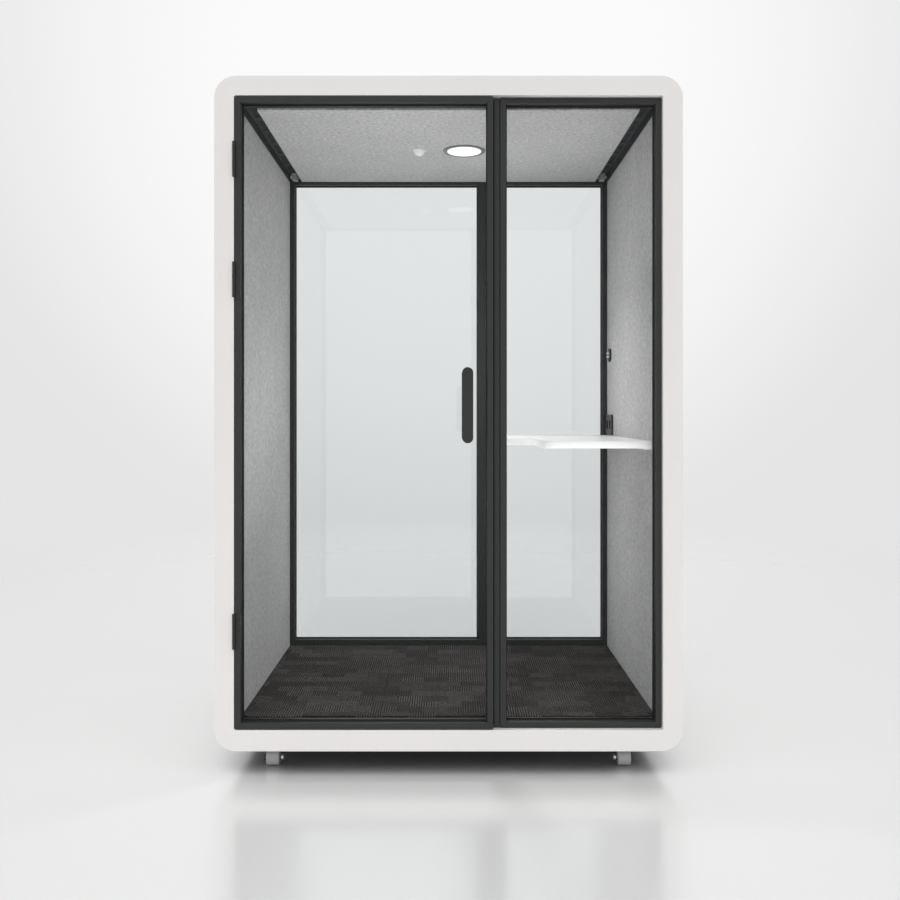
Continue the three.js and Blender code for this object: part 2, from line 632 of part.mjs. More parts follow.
// Pull handles: a round-ended plate on two posts on each face of the glass, bolted through it
const handleX = doorRight - PROFILE_FACE - HANDLE_FROM_STILE;
const handleZ = zFloor + HANDLE_ABOVE_FLOOR;
const postHeights = [handleZ - HANDLE_POST_SPACING / 2, handleZ + HANDLE_POST_SPACING / 2];
const glassFront = yDoorGlass - GLASS / 2;
const glassBack = yDoorGlass + GLASS / 2;
const handleOutline = roundedRect(
  handleX - HANDLE_WIDTH / 2,
  handleX + HANDLE_WIDTH / 2,
  handleZ - HANDLE_HEIGHT / 2,
  handleZ + HANDLE_HEIGHT / 2,
  HANDLE_WIDTH / 2,
);
const plateBack = glassFront - HANDLE_STANDOFF;
const outerPosts = postHeights.map((z) =>
  rodY(HANDLE_POST_RADIUS, plateBack - HANDLE_THICKNESS / 2, glassFront - SEAT, handleX, z));
const handleBolts = postHeights.map((z) =>
  rodY(HANDLE_BOLT_RADIUS, glassFront - HANDLE_STANDOFF, glassBack + HANDLE_BOLT_GRIP, handleX, z));
const outerFace = plateBack - HANDLE_THICKNESS;
const capGrooves = postHeights.map((z) => cut(
  rodY(CAP_RADIUS, outerFace - CAP_GROOVE, outerFace + CAP_GROOVE, handleX, z),
  rodY(CAP_RADIUS - CAP_GROOVE, outerFace - CAP_GROOVE, outerFace + 2 * CAP_GROOVE, handleX, z),
));
const outerPlate = cut(alongY(handleOutline, outerFace, plateBack, BEND_STEPS), ...capGrooves);
add('handle_outer', joined(outerPlate, ...outerPosts, ...handleBolts), BLACK);
const innerPlateFront = glassBack + HANDLE_STANDOFF;
const innerPlate = alongY(handleOutline, innerPlateFront, innerPlateFront + HANDLE_THICKNESS, BEND_STEPS);
const innerPosts = postHeights.map((z) =>
  rodY(HANDLE_POST_RADIUS, glassBack + SEAT, innerPlateFront + HANDLE_THICKNESS / 2, handleX, z));
const boltSockets = postHeights.map((z) =>
  holeY(HANDLE_BOLT_RADIUS + SEAT, glassFront, glassBack + HANDLE_BOLT_GRIP + SEAT, handleX, z));
add('handle_inner', cut(joined(innerPlate, ...innerPosts), ...boltSockets), BLACK);
const glassHoles = postHeights.map((z) =>
  holeY(HANDLE_BOLT_RADIUS + SEAT, glassFront - GLASS, glassBack + GLASS, handleX, z));
const doorPane = pane(doorLeft, doorRight, doorBottom, doorTop, yDoorGlass);
add('door_glass', cut(doorPane, ...glassHoles), CLEAR_GLASS);

// Hinges: the frame leaf stands in the gap beside the door and carries the pin and two knuckles,
// and the door leaf lies on the hinge stile and carries the knuckle between them
const pinX = openingLeft + SEAT + LEAF / 2;
const pinY = yFront - BARREL_RADIUS - RUNNING;
const knuckle = HINGE_HEIGHT / 3;
const hingePlaces = [
  ['top', doorTop - HINGE_TOP_DROP],
  ['middle', doorTop - HINGE_SECOND_DROP],
  ['bottom', doorBottom + HINGE_BOTTOM_RISE],
];
for (const [name, z] of hingePlaces) {
  const low = z - HINGE_HEIGHT / 2;
  const high = z + HINGE_HEIGHT / 2;
  const midLow = low + knuckle;
  const midHigh = high - knuckle;
  const leafLeft = openingLeft + SEAT;
  const frameLeaf = joined(
    box(leafLeft, leafLeft + LEAF, yFront + RUNNING, yFront + LEAF_DEPTH, low, high),
    box(leafLeft, leafLeft + LEAF, pinY, yFront + LEAF_DEPTH / 2, low, midLow - SEAT),
    box(leafLeft, leafLeft + LEAF, pinY, yFront + LEAF_DEPTH / 2, midHigh + SEAT, high),
    rodZ(BARREL_RADIUS, low, midLow - SEAT, pinX, pinY),
    rodZ(BARREL_RADIUS, midHigh + SEAT, high, pinX, pinY),
    rodZ(PIN_RADIUS, low + SEAT, high - SEAT, pinX, pinY),
  );
  add(`hinge_${name}_frame_leaf`, frameLeaf, BLACK);
  const plateLeft = pinX + BARREL_RADIUS + RUNNING;
  const plateFront = yFront - SEAT - LEAF;
  const doorLeaf = cut(
    joined(
      box(plateLeft, plateLeft + DOOR_LEAF_WIDTH, plateFront, yFront - SEAT, low, high),
      box(pinX, plateLeft + DOOR_LEAF_WIDTH / 2, plateFront, yFront - SEAT, midLow + SEAT, midHigh - SEAT),
      rodZ(BARREL_RADIUS, midLow + SEAT, midHigh - SEAT, pinX, pinY),
    ),
    holeZ(PIN_RADIUS + RUNNING, low, high, pinX, pinY),
  );
  add(`hinge_${name}_door_leaf`, doorLeaf, BLACK);
}

// Ceiling light: a can through the ceiling with a bezel under it, and the lens in its mouth
const mouth = LENS_RADIUS + SEAT;
const lensTop = LENS_THICKNESS - BEZEL_DROP + SEAT;
const lightProfile = [
  [0, CAN_HEIGHT],
  [CAN_RADIUS, CAN_HEIGHT],
  [CAN_RADIUS, -SEAT],
  [BEZEL_RADIUS, -SEAT],
  [BEZEL_RADIUS - BEZEL_DROP / 2, -BEZEL_DROP],
  [mouth, -BEZEL_DROP],
  [mouth, lensTop + SEAT],
  [CAN_RADIUS - 2 * CAN_WALL, lensTop + SEAT],
  [CAN_RADIUS - 2 * CAN_WALL, CAN_HEIGHT - CAN_WALL],
  [0, CAN_HEIGHT - CAN_WALL],
];
add('light_housing', turned(lightProfile, LIGHT_X, yLight, zCeiling, LIGHT_SIDES), GREY_METAL);
const zLens = zCeiling + lensTop;
const lens = rodZ(LENS_RADIUS, zLens - LENS_THICKNESS, zLens, LIGHT_X, yLight, LIGHT_SIDES);
add('light_lens', lens, DIFFUSER);

// Presence sensor: a stem in the ceiling, a flange and a dome
const sensorProfile = [
  [0, FELT - SEAT],
  [SENSOR_STEM_RADIUS, FELT - SEAT],
  [SENSOR_STEM_RADIUS, -SEAT],
  [SENSOR_FLANGE_RADIUS, -SEAT],
  [SENSOR_FLANGE_RADIUS, -SENSOR_FLANGE],
];
for (let step = 0; step <= BEND_STEPS; step += 1) {
  const angle = (step / BEND_STEPS) * Math.PI / 2;
  const radius = step < BEND_STEPS ? DOME_RADIUS * Math.cos(angle) : 0;
  sensorProfile.push([radius, -SENSOR_FLANGE - DOME_RADIUS * Math.sin(angle)]);
}
add('presence_sensor', turned(sensorProfile, SENSOR_X, ySensor, zCeiling, DISC_SIDES), WHITE_LAMINATE);

// Extractor fans under the roof grilles: a square housing with a motor plate on four struts, and a rotor
const fanTop = zRoofUnderside - SEAT;
const fanBottom = fanTop - FAN_DEPTH;
const rotorBottom = fanBottom + MOTOR_PLATE + RUNNING;
const rotorTop = fanTop - MOTOR_PLATE / 2;
const rotorMiddle = (rotorBottom + rotorTop) / 2;
function fanBlade() {
  const pitch = THREE.MathUtils.degToRad(BLADE_PITCH_DEG);
  const arch = BLADE_CAMBER + BLADE_THICKNESS;
  const room = rotorTop - rotorBottom - 2 * RUNNING;
  const half = (room - arch * Math.cos(pitch)) / Math.sin(pitch) / 2;
  const section = new THREE.Shape()
    .moveTo(-half, 0)
    .quadraticCurveTo(0, 2 * BLADE_CAMBER, half, 0)
    .lineTo(half, BLADE_THICKNESS)
    .quadraticCurveTo(0, 2 * BLADE_CAMBER + BLADE_THICKNESS, -half, BLADE_THICKNESS);
  const root = MOTOR_RADIUS - BLADE_THICKNESS;
  const length = FAN_BORE - BLADE_TIP_GAP - root;
  const centred = extrude(section, length, SMALL_STEPS).translate(0, -arch / 2, 0);
  return centred.rotateZ(pitch).rotateX(Math.PI / 2).translate(0, -root, 0);
}
for (const [name, side] of [['left', -1], ['right', 1]]) {
  const x = side * xFan;
  const half = FAN_SIZE / 2;
  const square = box(x - half, x + half, yFan - half, yFan + half, fanBottom, fanTop);
  const reach = (half + FAN_BORE) / 2;
  const strut = STRUT_WIDTH / 2;
  const plateTop = fanBottom + MOTOR_PLATE;
  const housing = joined(
    cut(square, holeZ(FAN_BORE, fanBottom - FAN_DEPTH, zTop, x, yFan, WHEEL_SIDES)),
    box(x - reach, x + reach, yFan - strut, yFan + strut, fanBottom, plateTop),
    box(x - strut, x + strut, yFan - reach, yFan + reach, fanBottom, plateTop),
    rodZ(MOTOR_RADIUS, fanBottom, plateTop, x, yFan),
    rodZ(SHAFT_RADIUS, fanBottom, rotorTop, x, yFan),
  );
  add(`fan_housing_${name}`, housing, BLACK);
  const blades = [];
  for (let blade = 0; blade < BLADE_COUNT; blade += 1) {
    blades.push(fanBlade().rotateZ((blade / BLADE_COUNT) * 2 * Math.PI).translate(x, yFan, rotorMiddle));
  }
  const rotor = joined(rodZ(MOTOR_RADIUS, rotorBottom, rotorTop, x, yFan), ...blades);
  const shaftBore = holeZ(SHAFT_RADIUS + RUNNING, fanBottom, zTop, x, yFan);
  add(`fan_rotor_${name}`, cut(rotor, shaftBore), BLACK);
}

// Desk: a top that is wider behind than in front, set in a steel angle along the wall
const zDeskTop = zFloor + DESK_ABOVE_FLOOR;
const zDeskUnderside = zDeskTop - DESK_THICKNESS;
const deskRight = wallFace - CLEAT_WALL - SEAT;
const deskFront = yLiningFront + DESK_GAP;
const deskBack = yLiningBack - DESK_GAP;
const deskStep = deskFront + DESK_STEP;
const narrowLeft = wallFace - DESK_NARROW;
const wideLeft = wallFace - DESK_WIDE;
const quarterTurn = Math.PI / 2;
const west = 2 * quarterTurn;
const south = 3 * quarterTurn;
const deskOutline = new THREE.Shape()
  .moveTo(deskRight, deskFront)
  .lineTo(deskRight, deskBack)
  .lineTo(wideLeft, deskBack)
  .absarc(wideLeft + DESK_CORNER, deskStep + DESK_CORNER, DESK_CORNER, west, south, false)
  .absarc(narrowLeft - DESK_FILLET, deskStep - DESK_FILLET, DESK_FILLET, quarterTurn, 0, true)
  .absarc(narrowLeft + DESK_CORNER, deskFront + DESK_CORNER, DESK_CORNER, west, south, false);
add('desk_top', alongZ(deskOutline, zDeskUnderside, zDeskTop, BEND_STEPS), WHITE_LAMINATE);
const ledge = zDeskUnderside - SEAT;
const upstand = zDeskTop - CLEAT_BELOW_TOP;
const cleatOutline = new THREE.Shape()
  .moveTo(wallFace, upstand)
  .lineTo(wallFace - CLEAT_WALL, upstand)
  .lineTo(wallFace - CLEAT_WALL, ledge)
  .lineTo(wallFace - CLEAT, ledge)
  .lineTo(wallFace - CLEAT, ledge - CLEAT_WALL)
  .lineTo(wallFace, ledge - CLEAT_WALL);
add('desk_cleat', alongY(cleatOutline, deskFront, deskBack), WHITE_PAINT);

// Socket plate on the wall just above the desk, at the back, with two recessed outlets
const socketBack = yLiningBack - SOCKET_FROM_REAR;
const socketLow = zDeskTop + SOCKET_ABOVE_DESK;
const socketOutline = roundedRect(
  socketBack - SOCKET_LENGTH,
  socketBack,
  socketLow,
  socketLow + SOCKET_HEIGHT,
  SOCKET_CORNER,
);
const socketFace = wallFace - SOCKET_THICKNESS;
const outlets = [-1, 1].map((side) => rodX(
  OUTLET_RADIUS,
  socketFace - OUTLET_DEPTH,
  socketFace + OUTLET_DEPTH,
  socketBack - SOCKET_LENGTH / 2 + side * OUTLET_SPACING / 2,
  socketLow + SOCKET_HEIGHT / 2,
  WHEEL_SIDES,
));
add('socket_plate', cut(alongX(socketOutline, socketFace, wallFace), ...outlets), BLACK);

// Round wall control with a light button above a fan button
const controlY = yLiningBack - CONTROL_FROM_REAR;
const controlZ = zDeskTop + CONTROL_ABOVE_DESK;
const controlFace = wallFace - CONTROL_THICKNESS;
const buttonPlaces = [['light', controlZ + BUTTON_SPACING / 2], ['fan', controlZ - BUTTON_SPACING / 2]];
const buttonBores = buttonPlaces.map(([, z]) =>
  holeX(BUTTON_RADIUS + RUNNING, controlFace - CONTROL_THICKNESS, wallFace + FELT, controlY, z));
const controlDisc = rodX(CONTROL_RADIUS, controlFace, wallFace, controlY, controlZ, WHEEL_SIDES);
add('control_plate', cut(controlDisc, ...buttonBores), BLACK);
for (const [name, z] of buttonPlaces) {
  const button = rodX(BUTTON_RADIUS, controlFace - BUTTON_PROUD, controlFace + BUTTON_STEM, controlY, z);
  add(`${name}_button`, button, WHITE_LAMINATE);
}

// Casters: a fork that swivels on its kingpin in the base pan, with the wheel on a bolt between its cheeks
function casterFork({ side, x, y }) {
  const yAxle = y - CASTER_TRAIL;
  const zRaceTop = zBottom - RUNNING;
  const zBridgeTop = zRaceTop - RACE_HEIGHT;
  const zBridge = zBridgeTop - BRIDGE;
  const cheekInner = WHEEL_WIDTH / 2 + RUNNING;
  const cheekOuter = cheekInner + CHEEK;
  const yCheekFront = yAxle - CHEEK_RADIUS / 2;
  const yCheekBack = y + RACE_RADIUS;
  const cheekOutline = new THREE.Shape()
    .moveTo(yCheekBack, zBridgeTop)
    .lineTo(yCheekFront, zBridgeTop)
    .absarc(yAxle, WHEEL_RADIUS, CHEEK_RADIUS, Math.PI, 2 * Math.PI, false)
    .lineTo(yCheekBack, zBridge);
  const nutSide = -side;
  const reach = (from, to) => (nutSide < 0 ? [x - to, x - from] : [x + from, x + to]);
  return joined(
    rodZ(RACE_RADIUS, zBridgeTop - BRIDGE / 2, zRaceTop, x, y, DISC_SIDES),
    rodZ(KINGPIN_RADIUS, zBridgeTop, zBottom + KINGPIN_LENGTH, x, y),
    box(x - cheekOuter, x + cheekOuter, yCheekFront, yCheekBack, zBridge, zBridgeTop),
    alongX(cheekOutline, x - cheekOuter, x - cheekInner),
    alongX(cheekOutline, x + cheekInner, x + cheekOuter),
    rodX(AXLE_RADIUS, ...reach(-cheekOuter - CHEEK, cheekOuter + NUT_LENGTH), yAxle, WHEEL_RADIUS),
    rodX(NUT_RADIUS, ...reach(cheekOuter - CHEEK / 2, cheekOuter + NUT_LENGTH), yAxle, WHEEL_RADIUS),
    rodX(NUT_RADIUS, ...reach(-cheekOuter - CHEEK, -cheekOuter + CHEEK / 2), yAxle, WHEEL_RADIUS),
  );
}
function casterWheel({ x, y }) {
  const half = WHEEL_WIDTH / 2;
  const bore = acrossCorners(AXLE_RADIUS + RUNNING, WHEEL_SIDES);
  const tread = new THREE.Path()
    .moveTo(bore, -half)
    .lineTo(WHEEL_RADIUS - WHEEL_SHOULDER, -half)
    .lineTo(WHEEL_RADIUS, -half + WHEEL_SHOULDER)
    .lineTo(WHEEL_RADIUS, half - WHEEL_SHOULDER)
    .lineTo(WHEEL_RADIUS - WHEEL_SHOULDER, half)
    .lineTo(bore, half)
    .lineTo(bore, -half);
  const rim = new THREE.LatheGeometry(tread.getPoints(), WHEEL_SIDES).rotateZ(-quarterTurn);
  return rim.translate(x, y - CASTER_TRAIL, WHEEL_RADIUS);
}
for (const place of casterPlaces) {
  add(`caster_${place.name}_fork`, casterFork(place), ZINC);
  add(`caster_${place.name}_wheel`, casterWheel(place), GREY_NYLON);
}

export default pod;
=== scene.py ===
# Acoustic office pod on casters, dressed for a plain white studio.
# Metres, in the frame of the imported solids: X to the right as seen from the front, Y into the pod, Z up.
import json
import math

import bmesh
import bpy
from mathutils import Matrix, Vector


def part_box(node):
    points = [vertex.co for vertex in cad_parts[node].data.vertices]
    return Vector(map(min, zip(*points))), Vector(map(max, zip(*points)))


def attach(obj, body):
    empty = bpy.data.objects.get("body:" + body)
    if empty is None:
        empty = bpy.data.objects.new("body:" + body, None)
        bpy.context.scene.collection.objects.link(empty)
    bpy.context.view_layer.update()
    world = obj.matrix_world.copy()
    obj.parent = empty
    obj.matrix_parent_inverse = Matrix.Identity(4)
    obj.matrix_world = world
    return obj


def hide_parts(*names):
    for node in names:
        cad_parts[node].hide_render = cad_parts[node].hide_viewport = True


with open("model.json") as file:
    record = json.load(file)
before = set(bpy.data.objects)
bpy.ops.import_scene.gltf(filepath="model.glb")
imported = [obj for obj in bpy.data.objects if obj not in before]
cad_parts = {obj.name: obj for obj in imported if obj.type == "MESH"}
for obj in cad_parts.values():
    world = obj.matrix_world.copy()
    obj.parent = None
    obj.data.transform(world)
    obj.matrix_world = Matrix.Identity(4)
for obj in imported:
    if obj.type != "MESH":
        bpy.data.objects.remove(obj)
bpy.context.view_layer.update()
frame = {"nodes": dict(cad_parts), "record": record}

# Shell: two end hoops with side panels, roof and base between them. All are folded steel, ground smooth at
# the welds, powder coated in one satin white and screwed together from inside, so only fine joints show.
BODY_OF = {piece: body for body, pieces in frame["record"]["behaviour"]["bodies"].items() for piece in pieces}
SAME_POINT = 1e-6                # points that are closer are joined
FLAT_BELOW = math.radians(0.5)   # faces that meet at less are one flat face
SHARP_ABOVE = math.radians(40)   # edges that turn by more are eased
ROUND_BELOW = math.radians(50)   # edges that turn by less are shaded as a round
FACING = 0.9                     # how far a normal lies along a direction, for a face that looks that way


def linear(code):
    """A hex colour as it is seen, turned to the linear values that a shader takes."""
    seen = [int(code[i:i + 2], 16) / 255 for i in (0, 2, 4)]
    return [c / 12.92 if c <= 0.04045 else ((c + 0.055) / 1.055) ** 2.4 for c in seen] + [1.0]


def node(tree, kind, sockets=None, **settings):
    """Adds a shader node. A socket takes a plain value, or another node's output to be linked to it."""
    made = tree.nodes.new("ShaderNode" + kind)
    for name, value in settings.items():
        setattr(made, name, value)
    for name, value in (sockets or {}).items():
        if isinstance(value, bpy.types.NodeSocket):
            tree.links.new(value, made.inputs[name])
        else:
            made.inputs[name].default_value = value
    return made


def bare(name):
    """A new material with nothing in it yet, and its node tree."""
    material = bpy.data.materials.new(name)
    material.use_nodes = True
    material.node_tree.nodes.clear()
    return material, material.node_tree


def powder_coat(name, pale, deep, grain, roughness):
    """Baked powder coat: an even colour over a faint orange peel, which is drawn coarser than the real
    half millimetre so that it shows."""
    material, tree = bare(name)
    at = node(tree, "TexCoord").outputs["Object"]
    peel = node(tree, "TexNoise", {"Vector": at, "Scale": 1 / grain, "Detail": 2.0}).outputs["Fac"]
    drift = node(tree, "TexNoise", {"Vector": at, "Scale": 3.0, "Detail": 3.0}).outputs["Fac"]
    colour = node(tree, "Mix", {0: drift, 6: linear(pale), 7: linear(deep)}, data_type="RGBA").outputs[2]
    rough = node(tree, "MapRange", {"Value": peel, "To Min": roughness - 0.07,
                                    "To Max": roughness + 0.07}).outputs[0]
    relief = node(tree, "Bump", {"Strength": 0.12, "Distance": grain / 20, "Height": peel}).outputs[0]
    shader = node(tree, "BsdfPrincipled", {"Base Color": colour, "Roughness": rough, "Normal": relief,
                                           "Specular IOR Level": 0.35})
    node(tree, "OutputMaterial", {"Surface": shader.outputs[0]})
    return material


def fitted(piece, name, material):
    """Puts a finished piece in the place of the solid of that name."""
    piece.data.materials.clear()
    piece.data.materials.append(material)
    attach(piece, BODY_OF[name])
    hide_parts(name)
    return piece


def shaded(bm, name):
    """Makes the object of a mesh: smooth over its rounds, with flat faces kept flat."""
    for face in bm.faces:
        face.smooth = True
    for edge in bm.edges:
        edge.smooth = edge.calc_face_angle(math.pi) < ROUND_BELOW
    mesh = bpy.data.meshes.new(name)
    bm.to_mesh(mesh)
    bm.free()
    piece = bpy.data.objects.new(name, mesh)
    bpy.context.scene.collection.objects.link(piece)
    piece.modifiers.new("flat faces", "WEIGHTED_NORMAL").keep_sharp = True
    return piece


def eased(name, material, radius, steps=2):
    """The piece as it leaves the workshop: the solid with its sharp edges eased to that radius."""
    bm = bmesh.new()
    bm.from_mesh(frame["nodes"][name].data)
    bmesh.ops.remove_doubles(bm, verts=bm.verts, dist=SAME_POINT)
    bmesh.ops.dissolve_limit(bm, angle_limit=FLAT_BELOW, verts=bm.verts, edges=bm.edges)
    sharp = [edge for edge in bm.edges if edge.calc_face_angle(0) > SHARP_ABOVE]
    bmesh.ops.bevel(
        bm, geom=sharp, offset=radius, offset_type="OFFSET", affect="EDGES", segments=steps,
        profile=0.5, material=-1, clamp_overlap=True,
    )
    return fitted(shaded(bm, name + "_finished"), name, material)


# Satin white: bright and even, with a wide soft highlight round the corners.
shell_white = powder_coat("satin_white_powder_coat", "f0edeb", "eae8e6", 0.006, 0.42)
for name in ("front_hoop", "rear_hoop"):
    eased(name, shell_white, 0.004, 3)
# Black on the inner faces of the panels and under the base: painted shade, a dull black put where the slots
# and the underside are in shadow, that shows at gaps alone.
painted_shade_black = powder_coat("black_painted_shade_sheet", "232324", "1a1a1b", 0.01, 0.7)
for name, inside in (("left_outer_panel", (1, 0, 0)), ("right_outer_panel", (-1, 0, 0)),
                     ("roof_panel", (0, 0, -1)), ("base_pan", (0, 0, -1))):
    panel = eased(name, shell_white, 0.0012)
    # Faces that look inward take the painted shade black.
    panel.data.materials.append(painted_shade_black)
    for face in panel.data.polygons:
        if face.normal.dot(Vector(inside)) > FACING:
            face.material_index = 1


# Casters: a fork that swivels under the base, pressed from steel and zinc plated dark, with a bolt through its
# cheeks and a bright nut on the inner side, and a solid wheel moulded in grey nylon, which turns on the bolt.
CHEEK, NUT = 0.0046, 0.0112               # from the wheel to the outside of the cheek; the nut's radius
BORE, HUB, RIM = 0.0056, 0.013, 0.006     # radius of the bore, radius of the hub, width of the rim
DISH, SLOPE = 0.003, 0.001                # depth of the hollow between hub and rim; slope of its sides
TREAD = [(0.003, 0.0005), (0.001, 0.002), (0.0, 0.005)]   # its round: in from the tread, in from the side
WHEEL_STEPS = 48


def zinc_plate(name, pale, deep):
    """Zinc plate on steel: grains of paler and deeper metal, of uneven gloss, drawn coarser than the real
    tenths of a millimetre so that they show."""
    material, tree = bare(name)
    at = node(tree, "TexCoord").outputs["Object"]
    grains = node(tree, "TexVoronoi", {"Vector": at, "Scale": 1 / 0.004}).outputs["Distance"]
    tone = node(tree, "Mix", {0: grains, 6: linear(pale), 7: linear(deep)}, data_type="RGBA").outputs[2]
    rough = node(tree, "MapRange", {"Value": grains, "To Min": 0.22, "To Max": 0.4}).outputs[0]
    plate = node(tree, "BsdfPrincipled", {"Base Color": tone, "Roughness": rough, "Metallic": 0.9})
    node(tree, "OutputMaterial", {"Surface": plate.outputs[0]})
    return material


def moulded(name, pale, deep, spark, roughness):
    """Moulded plastic: even colour, with the spark texture of the tool in its bump and its gloss, drawn
    coarser than the real tenth of a millimetre so that it shows."""
    material, tree = bare(name)
    at = node(tree, "TexCoord").outputs["Object"]
    pits = node(tree, "TexNoise", {"Vector": at, "Scale": 1 / spark, "Detail": 3.0}).outputs["Fac"]
    tone = node(tree, "Mix", {0: pits, 6: linear(pale), 7: linear(deep)}, data_type="RGBA").outputs[2]
    rough = node(tree, "MapRange", {"Value": pits, "To Min": roughness - 0.06,
                                    "To Max": roughness + 0.1}).outputs[0]
    relief = node(tree, "Bump", {"Strength": 0.2, "Distance": spark / 10, "Height": pits}).outputs[0]
    shader = node(tree, "BsdfPrincipled", {"Base Color": tone, "Roughness": rough, "Normal": relief})
    node(tree, "OutputMaterial", {"Surface": shader.outputs[0]})
    return material


def spun(name, outline, centre, axis, steps, closed=False):
    """The object of a round piece: points along its outline, joined up and spun once about an axis."""
    bm = bmesh.new()
    ring = [bm.verts.new(point) for point in outline]
    edges = [bm.edges.new((ring[i - 1], ring[i])) for i in range(0 if closed else 1, len(ring))]
    bmesh.ops.spin(
        bm, geom=ring + edges, cent=centre, axis=axis, angle=2 * math.pi, steps=steps, use_merge=True,
    )
    bmesh.ops.remove_doubles(bm, verts=bm.verts, dist=SAME_POINT)
    bmesh.ops.recalc_face_normals(bm, faces=bm.faces)
    return shaded(bm, name)


# Dark passivated zinc: a dim metal that takes up the tone of the floor. Bright zinc: a small sharp sparkle.
dark_zinc = zinc_plate("dark_passivated_zinc", "5d5f61", "4a4c4e")
bright_zinc = zinc_plate("bright_zinc_plate", "f4f5f6", "e4e6e8")
# Nylon: a flat mid grey with a faint waxy light along the tread.
wheel_nylon = moulded("grey_nylon", "b4b5b4", "a6a7a6", 0.002, 0.45)
for end in ("front", "rear"):
    for hand in ("left", "right"):
        name = f"caster_{end}_{hand}"
        low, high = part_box(name + "_wheel")
        middle = (low + high) / 2
        half, radius = (high.x - low.x) / 2, (high.z - low.z) / 2
        fork = eased(name + "_fork", dark_zinc, 0.0008)
        fork.data.materials.append(bright_zinc)
        for face in fork.data.polygons:
            away = face.center - middle
            inner_side = away.x * middle.x < 0
            if inner_side and abs(away.x) > half + CHEEK and math.hypot(away.y, away.z) < NUT:
                face.material_index = 1
        rim = radius - RIM
        side = [(BORE, 0.0), (HUB, 0.0), (HUB + SLOPE, DISH), (rim - SLOPE, DISH), (rim, 0.0)]
        side += [(radius - drop, inset) for drop, inset in TREAD]
        profile = [(r, -half + inset) for r, inset in side]
        profile += [(r, half - inset) for r, inset in reversed(side)]
        outline = [(middle.x + x, middle.y, middle.z + r) for r, x in profile]
        wheel = spun(name + "_wheel_moulded", outline, middle, (1, 0, 0), WHEEL_STEPS, closed=True)
        fitted(wheel, name + "_wheel", wheel_nylon)


# Floor: a stiff fibre core in the base, a plywood deck over it, and carpet tiles laid on the deck. The carpet
# is a loop pile with short ribbed patches, woven in dark brown and grey yarns.
TILES_ACROSS, TILES_DEEP = 3, 2
BUTT, PILE_ROUND = 0.0004, 0.003   # the gap between tiles; the round of their upper edges


def block(bm, centre, size):
    """Adds a plain block to a mesh."""
    bmesh.ops.create_cube(bm, size=1.0, matrix=Matrix.Translation(centre) @ Matrix.Diagonal((*size, 1)))


# Pressed fibre: a dull grey wadding with no gloss, closed in by the panels round it.
core_fibre, tree = bare("pressed_fibre_core")
at = node(tree, "TexCoord").outputs["Object"]
tufts = node(tree, "TexNoise", {"Vector": at, "Scale": 1 / 0.008, "Detail": 5.0}).outputs["Fac"]
tone = node(tree, "Mix", {0: tufts, 6: linear("4a4b4e"), 7: linear("67686c")}, data_type="RGBA").outputs[2]
relief = node(tree, "Bump", {"Strength": 0.5, "Distance": 0.002, "Height": tufts}).outputs[0]
wadding = node(tree, "BsdfPrincipled", {"Base Color": tone, "Roughness": 0.95, "Normal": relief})
node(tree, "OutputMaterial", {"Surface": wadding.outputs[0]})
for name in ("floor_core", "left_core", "right_core", "roof_core"):
    solid = frame["nodes"][name].data
    solid.materials.clear()
    solid.materials.append(core_fibre)

# Birch plywood: long pale grain on the face, and darker plies at the edges.
plywood, tree = bare("birch_plywood")
at = node(tree, "TexCoord").outputs["Object"]
along = node(tree, "Mapping", {"Vector": at, "Scale": (2.0, 60.0, 60.0)}).outputs[0]
grain = node(tree, "TexNoise", {"Vector": along, "Scale": 2.0, "Detail": 4.0}).outputs["Fac"]
plies = node(tree, "TexWave", {"Vector": at, "Scale": 1 / 0.018, "Distortion": 0.5},
             bands_direction="Z").outputs["Fac"]
both = node(tree, "Math", {0: grain, 1: plies}, operation="MULTIPLY").outputs[0]
tone = node(tree, "Mix", {0: both, 6: linear("c9a878"), 7: linear("8f6b43")}, data_type="RGBA").outputs[2]
wood = node(tree, "BsdfPrincipled", {"Base Color": tone, "Roughness": 0.7})
node(tree, "OutputMaterial", {"Surface": wood.outputs[0]})
deck = frame["nodes"]["floor_deck"].data
deck.materials.clear()
deck.materials.append(plywood)

# Loop pile: dark and without gloss, in patches of straight ribs that run one way or the other, some strong
# and some faint, with the rows of loops broken into dashes.
carpet_pile, tree = bare("loop_pile_carpet")
at = node(tree, "TexCoord").outputs["Object"]
patch_length, patch_width, rib, loop = 0.09, 0.06, 0.0085, 0.005
rib_scale = math.pi / 10 / rib   # the scale at which the bands of a wave are as wide as a rib
chance = node(tree, "TexBrick", {
    "Vector": at, "Color1": linear("000000"), "Color2": linear("ffffff"), "Scale": 1.0, "Mortar Size": 0.0,
    "Brick Width": patch_length, "Row Height": patch_width,
}).outputs["Color"]
again = node(tree, "Math", {0: chance, 1: 5.0}, operation="MULTIPLY").outputs[0]
again = node(tree, "Math", {0: again}, operation="FRACT").outputs[0]
across = node(tree, "TexWave", {"Vector": at, "Scale": rib_scale, "Distortion": 0.2, "Detail": 1.0},
              bands_direction="X").outputs["Fac"]
inward = node(tree, "TexWave", {"Vector": at, "Scale": rib_scale, "Distortion": 0.2, "Detail": 1.0},
              bands_direction="Y").outputs["Fac"]
turned = node(tree, "Math", {0: chance, 1: 0.5}, operation="GREATER_THAN").outputs[0]
ribs = node(tree, "Mix", {0: turned, 2: across, 3: inward}).outputs[0]
strength = node(tree, "MapRange", {"Value": again, "To Min": 0.3, "To Max": 1.0}).outputs[0]
loops = node(tree, "TexNoise", {"Vector": at, "Scale": 1 / loop, "Detail": 3.0}).outputs["Fac"]
thread = node(tree, "MapRange", {"Value": ribs, "From Min": 0.35, "From Max": 0.75}).outputs[0]
dashes = node(tree, "MapRange", {"Value": loops, "From Min": 0.25, "From Max": 0.5}).outputs[0]
